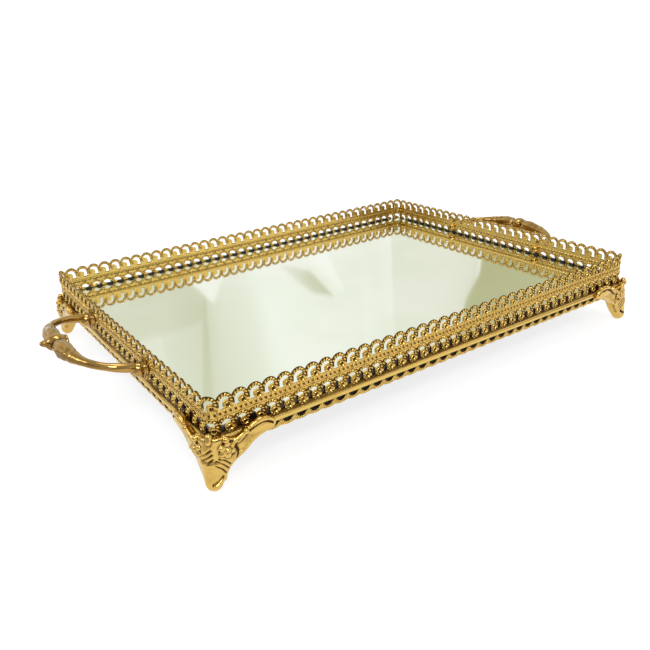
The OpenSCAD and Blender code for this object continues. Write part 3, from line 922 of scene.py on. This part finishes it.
def handle_casting(name, rise):
    """A handle about the middle of its two screws: +X along the side, -Y out of the tray."""
    body = Solid()
    steps, sides = 260, 48
    line = [bar_point(0.012 + (math.pi - 0.024) * i / steps, rise) for i in range(steps + 1)]
    points, faces = [], []
    for i, p in enumerate(line):
        ahead = (line[min(i + 1, steps)] - line[max(i - 1, 0)]).normalized()
        side = ahead.cross(Vector((0, 0, 1))).normalized()
        up = side.cross(ahead)
        share = abs(p.x) / HALF_SPAN
        radius = between(BAR, share)
        radius += sum(h * math.exp(-((share - at) / wide) ** 2) for at, wide, h in RINGS)
        leaf = max(0, min(1, (share - 0.05) / 0.08)) * max(0, min(1, (0.52 - share) / 0.1))
        for k in range(sides):
            a = 2 * math.pi * k / sides
            ridges = 0.5 + 0.5 * math.cos(6 * a + 8 * share)
            r = radius + leaf * (0.55 * ridges - 0.3)
            points.append(p + r * (math.cos(a) * side + math.sin(a) * up))
    for i in range(steps):
        for k in range(sides):
            n = (k + 1) % sides
            faces.append((i * sides + k, i * sides + n, (i + 1) * sides + n, (i + 1) * sides + k))
    faces.append(tuple(range(sides))[::-1])
    faces.append(tuple(steps * sides + k for k in range(sides)))
    body.add(points, faces, 0.5)

    # The bud in the middle, along the way the handle reaches out, with its collar and its tip
    slope = math.atan(rise)
    lie = Matrix.Rotation(-slope, 3, "X")
    middle = Vector((0, -HANDLE_REACH, rise * HANDLE_REACH))

    def on_bud(out, x=0.0, z=0.0):
        return middle + lie @ Vector((x, -out, z))

    blob(body, on_bud(0.2, 0, 0.5), (6.2, 7.4, 5.7), lie, 40, 24)
    blob(body, on_bud(-5.0, 0, 0.4), (5.4, 1.5, 5.2), lie, 32, 14)
    blob(body, on_bud(7.2, 0, 0.2), (2.8, 0.8, 2.7), lie, 24, 12)
    blob(body, on_bud(8.4, 0, 0.1), (2.3, 0.8, 2.2), lie, 24, 12)
    blob(body, on_bud(9.3, 0, 0), (1.6, 1.2, 1.6), lie, 24, 12)
    for s in (-1, 1):
        # The knuckle at the wall, and the leaf behind it
        end = Vector((s * HALF_SPAN, 0, 0))
        blob(body, end + Vector((0, -4.7, 0)), (4.5, 4.5, 4.5), None, 28, 18)
        blob(body, end + Vector((0, -2.2, 0)), (4.9, 1.7, 4.9), None, 28, 14)
        for up in (-1, 1):
            tip = end + Vector((0, -0.9, up * 4.6))
            blob(body, tip, (2.9, 1.0, 4.0), None, 24, 14)
            blob(body, tip + Vector((0, -0.8, up * 0.2)), (0.7, 0.8, 3.2), None, 16, 10)
        for side in (-1, 1):
            blob(body, end + Vector((side * 3.3, -0.9, 0)), (2.2, 1.0, 3.6), None, 20, 12)

    handle = fused(body, name, 0.36, 2)
    # The back of the leaf lies flat on the strip
    points, _ = skin(handle.data)
    points[:, 1] = np.minimum(points[:, 1], -0.05)
    lay(handle.data, points)
    paint_relief_shade(handle)
    return handle


def side_matrix(side, along, out, up):
    """The place of a point on a side, as the strip's own axes have it."""
    return (metres(*start_of_side(side), 0) @ Matrix.Rotation(side * math.pi / 2, 4, "Z")
            @ metres(along, -out, up))


for name, side, rise in (("left_handle", 3, LEFT_RISE), ("right_handle", 1, RIGHT_RISE)):
    settle(handle_casting(name + "_cast", rise), side_matrix(side, TRAY_W / 2 - BEND_R, 0, HANDLE_Z),
           name, GOLD_HANDLES_SHADED)


# ---------- mirror and pins ----------

def rounded(inset, z, steps=6):
    """The tray's plan, drawn in from the strip, at a height."""
    r = BEND_R - inset if BEND_R - inset > 0.5 else 0.5
    x, y = TRAY_L / 2 - inset - r, TRAY_W / 2 - inset - r
    loop = []
    for k, (sx, sy) in enumerate(((1, 1), (-1, 1), (-1, -1), (1, -1))):
        for i in range(steps + 1):
            a = math.radians(90 * k + 90 * i / steps)
            loop.append((sx * x + r * math.cos(a), sy * y + r * math.sin(a), z))
    return loop


def mirror_with_bevel():
    """The mirror, its polished edge a little lighter than its face."""
    loops = [rounded(2.2, 30.8), rounded(2.2, 33.4), rounded(2.75, 33.8), rounded(12, 33.8)]
    n = len(loops[0])
    glass = Solid()
    faces = [tuple(range(n))[::-1], tuple((len(loops) - 1) * n + k for k in range(n))]
    for i in range(len(loops) - 1):
        faces += [(i * n + k, i * n + (k + 1) % n, (i + 1) * n + (k + 1) % n, (i + 1) * n + k)
                  for k in range(n)]
    glass.add([p for loop in loops for p in loop], faces, 0.5)
    item = outward(glass.made("mirror_bevelled"))
    item.data.materials.append(MIRROR)
    item.data.materials.append(GLASS_EDGE)
    for face in item.data.polygons:
        if 0.1 < abs(face.normal.z) < 0.95 or abs(face.normal.z) < 0.1:
            face.material_index = 1
    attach(item, "root")
    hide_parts("mirror_plate")


mirror_with_bevel()


def pins():
    """Domed brass pins that hold the strip to the board, in the web between the half-moons."""
    made = Solid()
    for side in range(4):
        repeats, count = ((LONG_REPEATS, 5), (SHORT_REPEATS, 4))[side % 2]
        for k in range(count):
            # Half way between two repeats, as in the CAD
            nearest = int((k + 0.5) * repeats / count + 0.5)
            along = nearest * PITCH - BEND_ARC / 2 + PITCH / 2
            place = side_matrix(side, along, SKIRT_D, STRIP_Z + 3.5)
            turn = place.to_3x3()
            at = place.translation / MM
            blob(made, at, (1.0, 0.75, 1.0), turn, 16, 10)
            rod(made, [at + turn @ Vector((0, 0.2 + i * 2.0, 0)) for i in range(5)], [0.5] * 4 + [0.15], 10)
    item = outward(made.made("gallery_pins_domed"))
    item.data.materials.append(GOLD_PIN)
    item.data.shade_smooth()
    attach(item, "root")
    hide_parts("gallery_pins")


pins()


# ---------- screws ----------

FOOT_SCREW_IN = 8               # from the tray's outer faces to a foot's screw
SHELF_Z = 18.2                  # underside of a foot's shelf

def turned(solid, matrix, profile, pierced=False, sides=32):
    """A shape turned about the line that runs out of the tray: (radius, out) from one end to the other,
    or all the way round where it is pierced."""
    points, faces = [], []
    for r, out in profile:
        points += [matrix @ Vector((r * math.cos(2 * math.pi * k / sides) * MM, -out * MM,
                                    r * math.sin(2 * math.pi * k / sides) * MM)) / MM
                   for k in range(sides)]
    rings = len(profile)
    for i in range(rings if pierced else rings - 1):
        ahead = (i + 1) % rings
        faces += [(i * sides + k, i * sides + (k + 1) % sides, ahead * sides + (k + 1) % sides,
                   ahead * sides + k) for k in range(sides)]
    if not pierced:
        faces += [tuple(range(sides))[::-1], tuple((rings - 1) * sides + k for k in range(sides))]
    solid.add(points, faces, 0.7)


def threaded(r, start, end, pitch=0.7, depth=0.16):
    """A shank's outline with the crests and hollows of its thread."""
    turns = int((end - start) / pitch)
    line = []
    for i in range(turns):
        line += [(r, start + i * pitch), (r - depth, start + (i + 0.5) * pitch)]
    return line


def recess(item, places, size, depth):
    """Cuts a cross into each head."""
    cutter = Solid()
    for place in places:
        for turn in (0, math.pi / 2):
            c, s = math.cos(turn), math.sin(turn)
            corners = [(x, y, z) for x in (-size, size) for y in (-1, depth) for z in (-0.32, 0.32)]
            points = [place @ (Vector((c * x - s * z, y, s * x + c * z)) * MM) / MM for x, y, z in corners]
            cutter.add(points, [(0, 1, 3, 2), (4, 6, 7, 5), (0, 4, 5, 1), (2, 3, 7, 6), (0, 2, 6, 4),
                                (1, 5, 7, 3)], 0.1)
    tool = outward(cutter.made("cutter"))
    cut = item.modifiers.new("recess", "BOOLEAN")
    cut.operation, cut.object, cut.solver, cut.use_self = "DIFFERENCE", tool, "EXACT", True
    made = as_plain(item, item.name + "_crossed")
    bpy.data.objects.remove(tool)
    return made


def fastened(item, node, material):
    item.data.materials.clear()
    item.data.materials.append(material)
    item.data.shade_smooth()
    item.data.set_sharp_from_angle(angle=math.radians(35))
    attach(item, "root")
    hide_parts(node)


def handle_fasteners():
    """Inside the strip: a domed screw through a washer at each end of each handle."""
    screws, washers, heads = Solid(), Solid(), []
    for side in (1, 3):
        for s in (-1, 1):
            place = side_matrix(side, TRAY_W / 2 - BEND_R + s * HALF_SPAN, 0, HANDLE_Z)
            turned(screws, place, [(0.3, -3.35), (1.4, -3.2), (2.3, -2.75), (2.7, -2.1), (2.8, -1.42),
                                   (1.5, -1.4)] + threaded(1.5, -1.3, 6.6) + [(1.0, 7.0)])
            turned(washers, place, [(1.62, -0.52), (3.3, -0.52), (3.5, -0.7), (3.5, -1.25), (3.3, -1.39),
                                    (1.62, -1.39)], True)
            heads.append(place @ metres(0, 3.3, 0))
    fastened(recess(outward(screws.made("handle_screws_domed")), heads, 1.6, 0.2), "handle_screws",
             GOLD_PIN)
    fastened(outward(washers.made("handle_washers_rounded")), "handle_washers", GOLD_PIN)


def foot_fasteners():
    """From below, a pan-headed screw through each foot's shelf into the board."""
    screws, heads = Solid(), []
    for sx in (-1, 1):
        for sy in (-1, 1):
            place = (metres(sx * (TRAY_L / 2 - FOOT_SCREW_IN), sy * (TRAY_W / 2 - FOOT_SCREW_IN), SHELF_Z)
                     @ Matrix.Rotation(math.pi / 2, 4, "X"))
            turned(screws, place, [(0.3, 2.05), (2.0, 1.9), (2.8, 1.45), (3.1, 0.8), (3.1, 0.02),
                                   (1.6, 0)] + [(r, -o) for r, o in threaded(1.6, 0.2, 9.0)]
                   + [(0.4, -9.45)])
            heads.append(place @ metres(0, -2.05, 0))
    fastened(recess(outward(screws.made("foot_screws_pan")), [h @ Matrix.Rotation(math.pi, 4, "X")
                                                            for h in heads], 1.8, 0.2),
             "foot_screws", STEEL)


handle_fasteners()
foot_fasteners()


# ---------- CAD pieces that keep their shape ----------

KEPT = {
    "mirror_adhesive": PAD, "backing_board": BOARD, "edge_band": BAND, "felt_backing": FELT,
}
for name, material in KEPT.items():
    node = frame["nodes"][name]
    for place in node.material_slots:
        place.material = material
    if not node.material_slots:
        node.data.materials.append(material)


# ---------- studio ----------

def panel(name, corners, material, faces=((0, 1, 2, 3),)):
    mesh = bpy.data.meshes.new(name)
    mesh.from_pydata(corners, [], faces)
    mesh.materials.append(material)
    item = bpy.data.objects.new(name, mesh)
    bpy.context.scene.collection.objects.link(item)
    return item


def glowing(name, dark, pale, strength, base=0.0):
    """Paper that glows evenly by itself, with a faint mottle, from dark to pale as its tone says; on the
    cards seen only in reflections, its tone is painted light and shade.
    """
    def build(nodes, place):
        tone = nodes.add("ShaderNodeAttribute", {"attribute_name": "tone"}).out("Fac")
        tone = (tone + (noise(nodes, place, 3, 2) - 0.5) * 0.04).within(0, 1)
        return {"Emission Color": nodes.mix(tone, dark, pale)}
    return finish(name, build, Roughness=1.0, Emission_Strength=strength,
                  Base_Color=(base, base, base, 1))


def toned(item, tones):
    mark = item.data.attributes.new("tone", "FLOAT", "POINT")
    mark.data.foreach_set("value", tones)
    return item


def reflected_only(item):
    """A card that shows in polished metal and glass, and casts no light or shade."""
    item.visible_camera = item.visible_diffuse = item.visible_shadow = False
    item.visible_transmission = False
    return item


FLOOR_PAPER = glowing("white paper", (1, 1, 1, 1), (1, 1, 1, 1), 0.8, 0.28)
toned(panel("floor", [(-4, -4, 0), (4, -4, 0), (4, 4, 0), (-4, 4, 0)], FLOOR_PAPER), [1] * 4)
toned(panel("backdrop", [(4, -4, 0), (4, 4, 0), (4, 4, 5), (4, -4, 5)], FLOOR_PAPER), [1] * 4)
toned(panel("backdrop_side", [(-4, 4, 0), (4, 4, 0), (4, 4, 5), (-4, 4, 5)], FLOOR_PAPER), [1] * 4)

for name, corners in {
    "backdrop_left": [(-4, -4, 0), (-4, 4, 0), (-4, 4, 5), (-4, -4, 5)],
    "backdrop_front": [(-4, -4, 0), (4, -4, 0), (4, -4, 5), (-4, -4, 5)],
}.items():
    paper = toned(panel(name, corners, FLOOR_PAPER), [1] * 4)
    paper.visible_diffuse = paper.visible_glossy = paper.visible_shadow = False

# Folded paper that the mirror reflects: it glows, and its tones are painted light and shade on its folds.
# Each fold has its corners, across and up, and their tones
CARD_AZIMUTH = math.radians(55.7)
CARD_AWAY = 2.5
FOLDS = [
    ((-4, -0.3, 0.7), (4, -0.3, 0.7), (4, 4, 0.75), (-4, 4, 0.75)),
    ((-3, 0.3, 0.6), (-0.56, 0.3, 0.4), (-0.56, 1.08, 0.35), (-0.8, 1.16, 0.5), (-3, 1.6, 0.6)),
    ((-0.8, 1.16, 0.62), (-0.56, 1.08, 0.5), (-0.65, 1.6, 0.6), (-0.75, 1.9, 0.7)),
    ((-0.57, 0.9, 0.3), (-0.525, 0.9, 0.32), (-0.6, 1.7, 0.45), (-0.66, 1.7, 0.4)),
    ((-0.54, 0.5, 0.5), (-0.42, 0.5, 0.8), (-0.26, 1.1, 1.0), (-0.3, 1.8, 0.75), (-0.6, 1.75, 0.5)),
    ((-0.66, 0.86, 0.95), (-0.46, 0.84, 0.9), (-0.53, 1.0, 0.95)),
    ((-0.42, 0.5, 0.8), (0.16, 0.5, 0.8), (0.18, 1.3, 0.88), (-0.1, 1.7, 0.95), (-0.3, 1.8, 0.8),
     (-0.26, 1.1, 1.0)),
    ((-0.22, 0.82, 0.7), (-0.07, 0.86, 0.35), (0.04, 0.99, 0.2), (-0.06, 0.97, 0.5)),
    ((-0.1, 0.76, 0.95), (0.0, 0.74, 1.0), (0.09, 0.97, 1.0), (0.03, 0.97, 0.85)),
    ((0.16, 0.5, 0.8), (0.3, 0.5, 0.9), (0.33, 1.5, 0.85), (0.18, 1.3, 0.95)),
    ((0.3, 0.5, 0.65), (0.72, 0.5, 0.6), (0.7, 0.93, 0.5), (0.64, 1.3, 0.6), (0.33, 1.5, 0.8)),
    ((0.74, 0.5, 0.05), (2.5, 0.5, 0.1), (2.5, 1.6, 0.2), (0.6, 1.5, 0.15), (0.66, 1.03, 0.08),
     (0.72, 0.9, 0.0)),
]
CARD_PAPER = glowing("folded paper", rgb(184, 184, 142), rgb(252, 254, 250), 1.0)


def folded_card():
    ahead = Vector((math.cos(CARD_AZIMUTH), math.sin(CARD_AZIMUTH), 0))
    across = Vector((ahead.y, -ahead.x, 0))
    points, faces, tones = [], [], []
    for i, fold in enumerate(FOLDS):
        faces.append(range(len(points), len(points) + len(fold)))
        points += [ahead * (CARD_AWAY - i * 0.002) + across * h + Vector((0, 0, v)) for h, v, t in fold]
        tones += [t for h, v, t in fold]
    return toned(reflected_only(panel("folded_card", points, CARD_PAPER, faces)), tones)


folded_card()

SHADE_CARD = glowing("shaded paper", rgb(60, 52, 40), rgb(207, 207, 205), 1.0)


def soft_card(name, corner, across, up, tone, cells=10):
    """A card whose tone fades into its surroundings at the edges."""
    corner, across, up = Vector(corner), Vector(across), Vector(up)
    points, tones = [], []
    for j in range(cells + 1):
        for i in range(cells + 1):
            points.append(corner + across * i / cells + up * j / cells)
            middle = math.sin(math.pi * i / cells) * math.sin(math.pi * j / cells)
            tones.append(1 - (1 - tone) * min(1, 1.6 * middle))
    row = cells + 1
    faces = [(j * row + i, j * row + i + 1, (j + 1) * row + i + 1, (j + 1) * row + i)
             for j in range(cells) for i in range(cells)]
    return toned(reflected_only(panel(name, points, SHADE_CARD, faces)), tones)


soft_card("left_shade", (-2.5, -0.6, 0.003), (2.26, 0, 0), (0, 1.9, 0), 0.35)
soft_card("front_shade", (-1.7, -2.2, 0.4), (2.0, 0, 0), (0, 0, 0.7), 0.15)
soft_card("left_dark", (-1.8, -1.6, 0.2), (0, 1.9, 0), (0, 0, 0.6), 0)
soft_card("right_dark", (2.0, -2.1, 0.0), (0, 1.0, 0), (0, 0, 1.3), 0)

BRIGHT_CARD = glowing("bright paper", (1, 1, 1, 1), (1, 1, 1, 1), 1.15)
reflected_only(toned(panel("front_bright", [(0.3, -2.2, 0.3), (2.6, -2.2, 0.3), (2.6, -2.2, 1.4),
                                            (0.3, -2.2, 1.4)], BRIGHT_CARD), [1] * 4))


def light(name, at, aim, size, power, colour=(1, 1, 1)):
    lamp = bpy.data.lights.new(name, "AREA")
    lamp.shape, lamp.size, lamp.size_y = "RECTANGLE", size[0], size[1]
    lamp.energy, lamp.color = power, colour
    item = bpy.data.objects.new(name, lamp)
    item.location = at
    item.rotation_euler = (Vector(aim) - Vector(at)).to_track_quat("-Z", "Y").to_euler()
    bpy.context.scene.collection.objects.link(item)
    return item


light("key", (-0.7, -1.2, 1.4), (0, 0, 0), (0.5, 0.5), 12)
light("fill", (-1.5, 0.3, 1.0), (0, 0, 0), (0.5, 0.7), 4)
light("overhead", (0.3, 0.2, 2.2), (0.1, 0.1, 0), (1.0, 0.8), 10)

world = bpy.data.worlds.new("studio")
bpy.context.scene.world = world
world.use_nodes = True
world.node_tree.nodes["Background"].inputs["Color"].default_value = (1, 1, 1, 1)
world.node_tree.nodes["Background"].inputs["Strength"].default_value = 0.62
bpy.context.scene.view_settings.view_transform = "Standard"


# ---------- camera ----------

CAMERA_AT = Vector((-0.29267, -0.40984, 0.21708))
YAW, PITCH_DOWN, ROLL = (math.radians(a) for a in (55.694, 23.243, -2.509))
LENS = 37.604                   # millimetres, on a sensor 36 wide

ahead = Vector((math.cos(YAW) * math.cos(PITCH_DOWN), math.sin(YAW) * math.cos(PITCH_DOWN),
                -math.sin(PITCH_DOWN)))
right = ahead.cross(Vector((0, 0, 1))).normalized()
above = right.cross(ahead)
right, above = (math.cos(ROLL) * right + math.sin(ROLL) * above,
                math.cos(ROLL) * above - math.sin(ROLL) * right)
camera = bpy.data.objects.new("camera", bpy.data.cameras.new("camera"))
camera.data.lens, camera.data.sensor_width = LENS, 36
pose = Matrix((right, above, -ahead)).transposed().to_4x4()
pose.translation = CAMERA_AT
camera.matrix_world = pose
bpy.context.scene.collection.objects.link(camera)
bpy.context.scene.camera = camera
